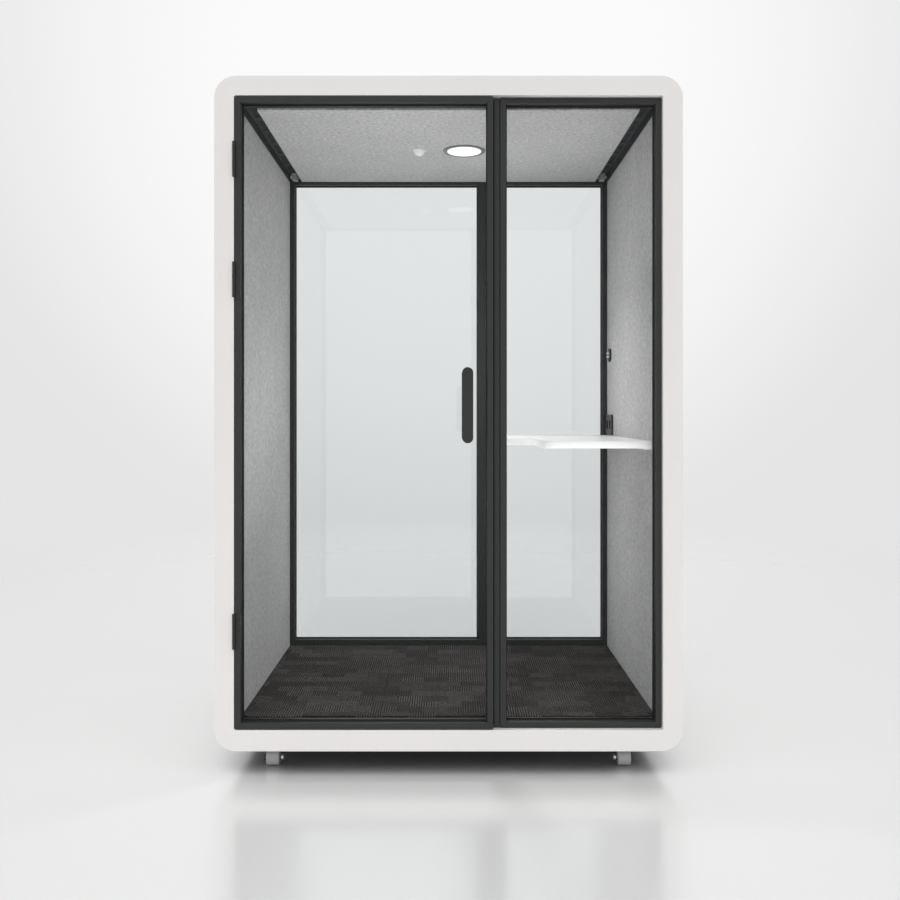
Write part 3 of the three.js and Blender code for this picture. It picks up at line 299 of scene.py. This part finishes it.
broken = node(tree, "Math", {0: thread, 1: dashes}, operation="MULTIPLY").outputs[0]
ribbed = node(tree, "Math", {0: broken, 1: strength}, operation="MULTIPLY").outputs[0]
yarn = node(tree, "Mix", {0: ribbed, 6: linear("2d2b2a"), 7: linear("716d6a")}, data_type="RGBA").outputs[2]
fleck = node(tree, "Mix", {0: 0.35, 6: yarn, 7: loops}, data_type="RGBA", blend_type="OVERLAY").outputs[2]
height = node(tree, "Math", {0: ribbed, 1: loops}, operation="ADD").outputs[0]
relief = node(tree, "Bump", {"Strength": 0.7, "Distance": 0.002, "Height": height}).outputs[0]
pile = node(tree, "BsdfPrincipled", {"Base Color": fleck, "Roughness": 0.95, "Normal": relief,
                                     "Specular IOR Level": 0.05})
node(tree, "OutputMaterial", {"Surface": pile.outputs[0]})

low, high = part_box("carpet")
middle = (low + high) / 2
tile_x, tile_y = (high.x - low.x) / TILES_ACROSS, (high.y - low.y) / TILES_DEEP
bm = bmesh.new()
for column in range(TILES_ACROSS):
    for row in range(TILES_DEEP):
        centre = Vector((low.x + (column + 0.5) * tile_x, low.y + (row + 0.5) * tile_y, middle.z))
        block(bm, centre, Vector((tile_x - BUTT, tile_y - BUTT, high.z - low.z)))
edges = [edge for edge in bm.edges if all(vert.co.z > middle.z for vert in edge.verts)]
bmesh.ops.bevel(bm, geom=edges, offset=PILE_ROUND, offset_type="OFFSET", affect="EDGES", segments=3,
                profile=0.5, material=-1)
fitted(shaded(bm, "carpet_tiles"), "carpet", carpet_pile)

# Felt lining: boards of pressed grey polyester felt, cut with soft edges and pushed on to the cores of the
# walls and the roof. Its fibres are heathered: paler and darker tufts about 13 mm across, with finer flecks,
# and no gloss at all.
pressed_felt, tree = bare("pressed_grey_felt")
at = node(tree, "TexCoord").outputs["Object"]
lay = node(tree, "TexNoise", {"Vector": at, "Scale": 1 / 0.013, "Detail": 4.0,
                              "Roughness": 0.6}).outputs["Fac"]
tuft = node(tree, "MapRange", {"Value": lay, "From Min": 0.3, "From Max": 0.7}).outputs[0]
cloud = node(tree, "TexNoise", {"Vector": at, "Scale": 1 / 0.12, "Detail": 4.0}).outputs["Fac"]
fibre = node(tree, "TexNoise", {"Vector": at, "Scale": 1 / 0.004, "Detail": 2.0}).outputs["Fac"]
body = node(tree, "Mix", {0: tuft, 6: linear("a09f9f"), 7: linear("cbcaca")}, data_type="RGBA").outputs[2]
tone = node(tree, "Mix", {0: 0.1, 6: body, 7: cloud}, data_type="RGBA", blend_type="OVERLAY").outputs[2]
fleck = node(tree, "Mix", {0: 0.15, 6: tone, 7: fibre}, data_type="RGBA", blend_type="OVERLAY").outputs[2]
height = node(tree, "Math", {0: tuft, 1: fibre}, operation="ADD").outputs[0]
relief = node(tree, "Bump", {"Strength": 0.35, "Distance": 0.0015, "Height": height}).outputs[0]
felt = node(tree, "BsdfPrincipled", {"Base Color": fleck, "Roughness": 1.0, "Normal": relief,
                                     "Sheen Weight": 0.2, "Sheen Roughness": 0.5, "Specular IOR Level": 0.1})
node(tree, "OutputMaterial", {"Surface": felt.outputs[0]})
for name in ("left_felt", "right_felt", "ceiling_felt"):
    eased(name, pressed_felt, 0.0015)


# Air channels: folded steel in matt black beside the ceiling, with slots along the web, a pale clip at the
# rear end, and a strip of dark foam laid on the web over the slots as painted shade, so that the slots read
# dark.
CLIP_HALF, CLIP_LENGTH, WEB = 0.0115, 0.046, 0.0025   # the clip's half width and length; the web's thickness
FOAM_WIDTH, FOAM_HEIGHT = 0.034, 0.006
FOAM_SHORT, FOAM_GAP = 0.01, 0.0003                   # how much shorter than the channel; its gap to the web


def added(piece, material, host):
    """Fixes a small extra piece, with its material, to the body of its host."""
    piece.data.materials.append(material)
    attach(piece, BODY_OF[host])


# Matt black: near black with a broad dim light on the folds, round a clip of flat pale grey.
vent_black = powder_coat("matt_black_powder_coat", "3f4041", "353637", 0.004, 0.5)
clip_grey = moulded("pale_grey_clip", "a9aaa9", "9b9c9b", 0.003, 0.5)
# Dark foam: painted shade, open cells that show as a dark mottle behind the slots, where the channel's inside
# is in shadow.
painted_shade_foam = moulded("dark_filter_foam", "4a4b4c", "2a2b2c", 0.006, 0.85)
for name in ("left_air_channel", "right_air_channel"):
    channel = eased(name, vent_black, 0.0006)
    channel.data.materials.append(clip_grey)
    low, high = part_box(name)
    middle = (low + high) / 2
    for face in channel.data.polygons:
        x, y, z = face.center
        if abs(x - middle.x) < CLIP_HALF and y > high.y - CLIP_LENGTH and z < high.z - WEB:
            face.material_index = 1
    size = Vector((FOAM_WIDTH, high.y - low.y - FOAM_SHORT, FOAM_HEIGHT))
    bm = bmesh.new()
    block(bm, Vector((middle.x, middle.y, high.z + FOAM_GAP + size.z / 2)), size)
    # The foam strip is painted shade behind the slots.
    added(shaded(bm, name.replace("channel", "filter")), painted_shade_foam, name)

# Extractor fans under the roof grilles: a square moulded housing screwed to the roof, with the motor on four
# struts, and a seven bladed rotor on its shaft. The black nylon has a dull sheen along the blades' edges.
fan_black = moulded("black_glass_filled_nylon", "262728", "1b1c1d", 0.002, 0.5)
for hand in ("left", "right"):
    eased("fan_housing_" + hand, fan_black, 0.0006)
    eased("fan_rotor_" + hand, fan_black, 0.0003)

# Frames: the door jamb with its post, the frame of the fixed pane, and the rear frames and post. All are
# extruded aluminium, cut to length, cleated at the corners and powder coated charcoal, which looks black
# beside the shell but keeps a soft grey light on its flats.
charcoal = powder_coat("charcoal_powder_coat", "333534", "2b2d2c", 0.004, 0.42)
for name in ("door_jamb", "fixed_frame", "rear_frame_left", "rear_frame_right", "rear_post"):
    eased(name, charcoal, 0.001)


# Panes: 10 mm clear laminated glass with ground edges, set in the grooves of the frames. The front panes have
# a coating that takes off most of their reflection. Light from lamps goes straight through to the felt.
def clear_glass(name, tint, ior):
    """Float glass: clear, with a faint film on it that dulls the gloss in places."""
    material, tree = bare(name)
    at = node(tree, "TexCoord").outputs["Object"]
    film = node(tree, "TexNoise", {"Vector": at, "Scale": 6.0, "Detail": 3.0}).outputs["Fac"]
    smear = node(tree, "MapRange", {"Value": film, "To Min": 0.0, "To Max": 0.02}).outputs[0]
    glass = node(tree, "BsdfPrincipled", {"Base Color": linear(tint), "Roughness": smear, "IOR": ior,
                                          "Transmission Weight": 1.0})
    clear = node(tree, "BsdfTransparent", {"Color": linear(tint)})
    ray = node(tree, "LightPath")
    lit = node(tree, "Math", {0: ray.outputs["Is Shadow Ray"], 1: ray.outputs["Is Diffuse Ray"]},
               operation="MAXIMUM").outputs[0]
    pane = node(tree, "MixShader", {0: lit, 1: glass.outputs[0], 2: clear.outputs[0]})
    node(tree, "OutputMaterial", {"Surface": pane.outputs[0]})
    return material


# Coated: hardly there. Plain: a cool tint, with the room and the opposite opening faint in it.
coated_glass = clear_glass("coated_laminated_glass", "fafbfb", 1.12)
for name in ("fixed_glass", "door_glass"):
    eased(name, coated_glass, 0.001)
plain_glass = clear_glass("clear_laminated_glass", "ebedee", 1.5)
for name in ("rear_glass_left", "rear_glass_right"):
    eased(name, plain_glass, 0.001)

# Door: four mitred aluminium profiles round the glass, in the same charcoal, closing on a black rubber seal
# that is glued to the stop. The rubber is a soft black line without a highlight.
for name in ("door_hinge_stile", "door_latch_stile", "door_top_rail", "door_bottom_rail"):
    eased(name, charcoal, 0.0006)
seal_rubber = moulded("black_seal_rubber", "1e1e1f", "151516", 0.003, 0.75)
eased("door_seal", seal_rubber, 0.0015)


# Gaskets: black rubber wedges pushed in between each pane and its frame, round both faces of the pane, with
# the corners cut to a mitre.
WEDGE = [(0.0002, 0.0002), (0.0032, 0.0002), (0.0034, 0.001), (0.0028, 0.0028), (0.0002, 0.0056)]


def gasket(name, pane, left, right, low, high):
    """A closed ring of rubber along the opening of a frame, against each face of its pane. The wedge's
    points are measured in from the opening and out from the glass."""
    near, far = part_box(pane)
    turns = ((left, low, 1, 1), (right, low, -1, 1), (right, high, -1, -1), (left, high, 1, -1))
    bm = bmesh.new()
    for face, out in ((near.y, -1), (far.y, 1)):
        corners = [
            [bm.verts.new((x + sx * inset, face + out * rise, z + sz * inset)) for inset, rise in WEDGE]
            for x, z, sx, sz in turns
        ]
        for i in range(len(corners)):
            for j in range(len(WEDGE)):
                bm.faces.new((corners[i - 1][j - 1], corners[i][j - 1], corners[i][j], corners[i - 1][j]))
    bmesh.ops.recalc_face_normals(bm, faces=bm.faces)
    added(shaded(bm, name), seal_rubber, pane)


gasket("door_gasket", "door_glass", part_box("door_hinge_stile")[1].x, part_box("door_latch_stile")[0].x,
       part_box("door_bottom_rail")[1].z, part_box("door_top_rail")[0].z)
for name, pane in (("fixed_frame", "fixed_glass"), ("rear_frame_left", "rear_glass_left"),
                   ("rear_frame_right", "rear_glass_right")):
    low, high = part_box(name)
    middle = (low + high) / 2
    points = [vert.co - middle for vert in frame["nodes"][name].data.vertices]
    half_x, half_z = min(abs(point.x) for point in points), min(abs(point.z) for point in points)
    gasket(pane.replace("glass", "gasket"), pane, middle.x - half_x, middle.x + half_x,
           middle.z - half_z, middle.z + half_z)

# Handles: flat steel bars with round ends, one on each face of the glass, on posts that are bolted through
# it. Satin black coat: a little smoother than the frames, so a thin light runs along the rounds.
handle_black = powder_coat("satin_black_powder_coat", "2f302f", "272827", 0.004, 0.36)
for name in ("handle_outer", "handle_inner"):
    eased(name, handle_black, 0.0015, 3)

# Hinges: three steel butt hinges in black, each with one leaf on the frame, one on the stile and a fixed pin.
# Three raised screws, each with a socket in its head, hold the leaf to the stile.
HINGE_SCREWS, SCREW_STEPS = 3, 24
SCREW_INSET = 0.008   # from the leaf's free edge
SCREW_HEAD = [(0.0, 0.0002), (0.0016, 0.0002), (0.0018, 0.0012), (0.003, 0.0011), (0.0038, 0.0005),
              (0.004, -0.0002), (0.0, -0.0002)]   # radius, and rise from the leaf
LEAF = 0.0023         # from the stile to the outer face of the leaf
leaf_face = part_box("door_hinge_stile")[0].y - LEAF
for place in ("top", "middle", "bottom"):
    leaf = f"hinge_{place}_door_leaf"
    eased(f"hinge_{place}_frame_leaf", handle_black, 0.0004)
    eased(leaf, handle_black, 0.0004)
    low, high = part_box(leaf)
    for row in range(HINGE_SCREWS):
        level = low.z + (row + 0.5) * (high.z - low.z) / HINGE_SCREWS
        head = Vector((high.x - SCREW_INSET, leaf_face, level))
        outline = [head + Vector((r, -rise, 0)) for r, rise in SCREW_HEAD]
        screw = spun(f"hinge_{place}_screw_{row + 1}", outline, head, (0, 1, 0), SCREW_STEPS)
        added(screw, handle_black, leaf)

# Ceiling light: a spun steel can with a grey bezel and an opal acrylic lens lit from behind, and beside it a
# presence sensor with a white moulded dome.
STEM, DOME, BRIM_DEPTH, BRIM_ROUND = 0.015, 0.0205, 0.0035, 0.001   # radii of stem and dome; the brim's size
FELT_GAP, DOME_GROOVE = 0.0003, 0.0006
DOME_STEPS, SENSOR_STEPS = 8, 48
# Bezel paint: a plain mid grey ring that sets the lit lens off from the felt.
bezel_grey = powder_coat("grey_bezel_paint", "7d7f80", "707273", 0.003, 0.4)
eased("light_housing", bezel_grey, 0.0006)
# Opal acrylic: an even white glow without a hot spot.
opal, tree = bare("lit_opal_acrylic")
at = node(tree, "TexCoord").outputs["Object"]
haze = node(tree, "TexNoise", {"Vector": at, "Scale": 30.0, "Detail": 2.0}).outputs["Fac"]
glow = node(tree, "Mix", {0: haze, 6: linear("ffffff"), 7: linear("fbfbf8")}, data_type="RGBA").outputs[2]
lens = node(tree, "BsdfPrincipled", {"Base Color": linear("b4b4b2"), "Roughness": 0.4, "Emission Color": glow,
                                     "Emission Strength": 0.8})
node(tree, "OutputMaterial", {"Surface": lens.outputs[0]})
eased("light_lens", opal, 0.0006)
# Sensor plastic: a clean white, bright against the felt.
sensor_white = moulded("white_sensor_plastic", "f6f6f4", "eeeeec", 0.002, 0.4)
low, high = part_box("presence_sensor")
middle = (low + high) / 2
ceiling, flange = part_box("ceiling_felt")[0].z, (high.x - low.x) / 2
brim = ceiling - BRIM_DEPTH
profile = [(0.0, high.z), (STEM, high.z), (STEM, ceiling - FELT_GAP), (flange, ceiling - FELT_GAP),
           (flange, brim + BRIM_ROUND), (flange - BRIM_ROUND, brim), (DOME + DOME_GROOVE, brim)]
for step in range(DOME_STEPS):
    angle = step / DOME_STEPS * math.pi / 2
    profile.append((DOME * math.cos(angle), brim + (low.z - brim) * math.sin(angle)))
profile.append((0.0, low.z))
outline = [(middle.x + r, middle.y, z) for r, z in profile]
sensor = spun("presence_sensor_moulded", outline, middle, (0, 0, 1), SENSOR_STEPS)
fitted(sensor, "presence_sensor", sensor_white)

# Desk: a board faced in white laminate with a white edge band, on a white steel angle along the wall. The
# pressed laminate is a clean white with a fine pearl, which breaks up its gloss.
laminate, tree = bare("white_laminate")
at = node(tree, "TexCoord").outputs["Object"]
pearl = node(tree, "TexNoise", {"Vector": at, "Scale": 1 / 0.005, "Detail": 3.0}).outputs["Fac"]
tone = node(tree, "Mix", {0: pearl, 6: linear("fbfaf8"), 7: linear("f6f5f3")}, data_type="RGBA").outputs[2]
rough = node(tree, "MapRange", {"Value": pearl, "To Min": 0.3, "To Max": 0.42}).outputs[0]
relief = node(tree, "Bump", {"Strength": 0.08, "Distance": 0.0003, "Height": pearl}).outputs[0]
board = node(tree, "BsdfPrincipled", {"Base Color": tone, "Roughness": rough, "Normal": relief})
node(tree, "OutputMaterial", {"Surface": board.outputs[0]})
eased("desk_top", laminate, 0.0015)
eased("desk_cleat", shell_white, 0.0006)

# Electrics on the right wall: a black socket box, and a round black control with a white light button above a
# white fan button. All are moulded, and held by screws from behind. The black is fine and even, with a small
# light along the eased edges.
socket_black = moulded("black_socket_plastic", "2c2d2e", "222324", 0.003, 0.45)
eased("socket_plate", socket_black, 0.0012)
eased("control_plate", socket_black, 0.001)
for name in ("light_button", "fan_button"):
    eased(name, sensor_white, 0.0008)

# Studio: a pale floor with a soft sheen that fades into a white surround, softboxes above and low wings all
# round, small lamps in the cabin for its light and the white room's, and the camera in front of the door.
FLOOR_HALF = 10.0
AIM = Vector((0, 0, 1.1))         # the point that the outer lamps are turned to
LENS_GAP = 0.004                  # from the lens to the lamp that stands for its light
GLOW_CENTRE = (0.0, 0.94, 0.34)   # the direction in which the surround is brightest, behind the pod
IMAGE_WIDTH = 900                 # pixels, for the camera's shift
CAMERA_DISTANCE, CAMERA_HEIGHT = 3.044, 1.185
# Painted floor: a smooth pale grey that mirrors the pod faintly. Its colour is darkened by ambient occlusion
# in shelter, as under the pod: a painted shadow, deeper than the low lamps leave there.
floor_paint, tree = bare("studio_floor")
at = node(tree, "TexCoord").outputs["Object"]
scuff = node(tree, "TexNoise", {"Vector": at, "Scale": 2.0, "Detail": 4.0}).outputs["Fac"]
rough = node(tree, "MapRange", {"Value": scuff, "To Min": 0.16, "To Max": 0.24}).outputs[0]
# Painted shadow: the floor's colour goes dark where the pod shelters it.
painted_shadow_ao = node(tree, "AmbientOcclusion", {"Distance": 0.25}, samples=16).outputs["AO"]
outside_painted_shadow = node(tree, "MapRange", {"Value": painted_shadow_ao, "From Min": 0.1, "From Max": 0.6}).outputs[0]
tone = node(tree, "Mix", {0: outside_painted_shadow, 6: linear("8c8c8c"), 7: linear("ebebeb")}, data_type="RGBA").outputs[2]
paint = node(tree, "BsdfPrincipled", {"Base Color": tone, "Roughness": rough, "IOR": 2.8})
reach = node(tree, "VectorMath", {0: at}, operation="LENGTH").outputs["Value"]
away = node(tree, "MapRange", {"Value": reach, "From Min": 2.2, "From Max": 7.0},
            interpolation_type="SMOOTHSTEP").outputs[0]
gone = node(tree, "BsdfTransparent")
fading = node(tree, "MixShader", {0: away, 1: paint.outputs[0], 2: gone.outputs[0]})
node(tree, "OutputMaterial", {"Surface": fading.outputs[0]})
bm = bmesh.new()
bmesh.ops.create_grid(bm, x_segments=1, y_segments=1, size=FLOOR_HALF)
mesh = bpy.data.meshes.new("studio_floor")
bm.to_mesh(mesh)
bm.free()
mesh.materials.append(floor_paint)
floor = bpy.data.objects.new("studio_floor", mesh)
bpy.context.scene.collection.objects.link(floor)

surround = bpy.data.worlds.new("white_surround")
surround.use_nodes = True
tree = surround.node_tree
tree.nodes.clear()
toward = node(tree, "TexCoord").outputs["Generated"]
facing = node(tree, "VectorMath", {0: toward, 1: GLOW_CENTRE}, operation="DOT_PRODUCT").outputs["Value"]
glow = node(tree, "MapRange", {"Value": facing, "From Min": 0.86, "From Max": 1.0,
                               "To Min": 0.78, "To Max": 0.97},
            interpolation_type="SMOOTHSTEP").outputs[0]
ray = node(tree, "LightPath")
seen = node(tree, "Math", {0: ray.outputs["Is Camera Ray"], 1: ray.outputs["Is Glossy Ray"]},
            operation="MAXIMUM").outputs[0]
seen = node(tree, "Math", {0: seen, 1: ray.outputs["Is Transmission Ray"]}, operation="MAXIMUM").outputs[0]
upward = node(tree, "SeparateXYZ", {"Vector": toward}).outputs["Z"]
skylight = node(tree, "MapRange", {"Value": upward, "To Min": 0.2, "To Max": 1.04}).outputs[0]
dim = node(tree, "Background", {"Color": linear("ffffff"), "Strength": skylight})
bright = node(tree, "Background", {"Color": linear("ffffff"), "Strength": glow})
sky = node(tree, "MixShader", {0: seen, 1: dim.outputs[0], 2: bright.outputs[0]})
node(tree, "OutputWorld", {"Surface": sky.outputs[0]})
bpy.context.scene.world = surround


def lamp_at(name, place, shape, width, height, power):
    """A soft lamp that lights, but is not itself seen, mirrored or seen through glass."""
    lamp = bpy.data.lights.new(name, "AREA")
    lamp.shape = shape
    lamp.size, lamp.size_y = width, height
    lamp.energy = power
    stand = bpy.data.objects.new(name, lamp)
    stand.location = place
    stand.visible_camera = stand.visible_glossy = stand.visible_transmission = False
    bpy.context.scene.collection.objects.link(stand)
    return stand


for name, place, width, height, power in (
    ("left_softbox", (-2.5, -3.6, 5.6), 6.0, 4.0, 60.0),
    ("right_softbox", (2.5, -3.6, 5.6), 6.0, 4.0, 47.0),
    ("front_softbox", (0.0, -7.0, 0.7), 5.0, 1.2, 106.0),
    ("left_wing", (-6.0, 0.0, 0.8), 3.0, 1.2, 40.0),
    ("right_wing", (6.0, 0.0, 0.8), 3.0, 1.2, 40.0),
    ("rear_wing", (0.0, 7.0, 0.8), 5.0, 1.2, 60.0),
):
    stand = lamp_at(name, place, "RECTANGLE", width, height, power)
    stand.rotation_euler = (AIM - Vector(place)).to_track_quat("-Z", "Y").to_euler()
low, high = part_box("light_lens")
lens_under = ((low.x + high.x) / 2, (low.y + high.y) / 2, low.z - LENS_GAP)
for name, place, turn, width, height, spread, power in (
    ("cabin_downlight", lens_under, (0, 0), 0.13, 0.13, 100, 2.7),
    ("cabin_uplight", (-0.1, -0.3, 0.25), (180, 0), 0.5, 0.5, 90, 4.4),
    ("left_wall_wash", (-0.02, 0.32, 1.2), (0, 90), 2.0, 0.3, 110, 0.9),
    ("right_wall_wash", (0.02, 0.15, 1.2), (0, -90), 2.0, 0.4, 110, 1.65),
    ("desk_wash", (0.46, -0.47, 1.06), (90, 0), 0.5, 0.06, 120, 0.03),
):
    stand = lamp_at(name, place, "ELLIPSE", width, height, power)
    stand.data.spread = math.radians(spread)
    stand.rotation_euler = (math.radians(turn[0]), math.radians(turn[1]), 0.0)

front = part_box("front_hoop")[0].y
optics = bpy.data.cameras.new("camera")
optics.sensor_width = 36.0
optics.lens = 37.08
optics.shift_x = 1.5 / IMAGE_WIDTH
optics.shift_y = -35.0 / IMAGE_WIDTH
camera = bpy.data.objects.new("camera", optics)
camera.location = (0.0, front - CAMERA_DISTANCE, CAMERA_HEIGHT)
camera.rotation_euler = (math.radians(90), 0.0, 0.0)
bpy.context.scene.collection.objects.link(camera)
bpy.context.scene.camera = camera
bpy.context.scene.view_settings.view_transform = "Standard"

bpy.context.view_layer.update()
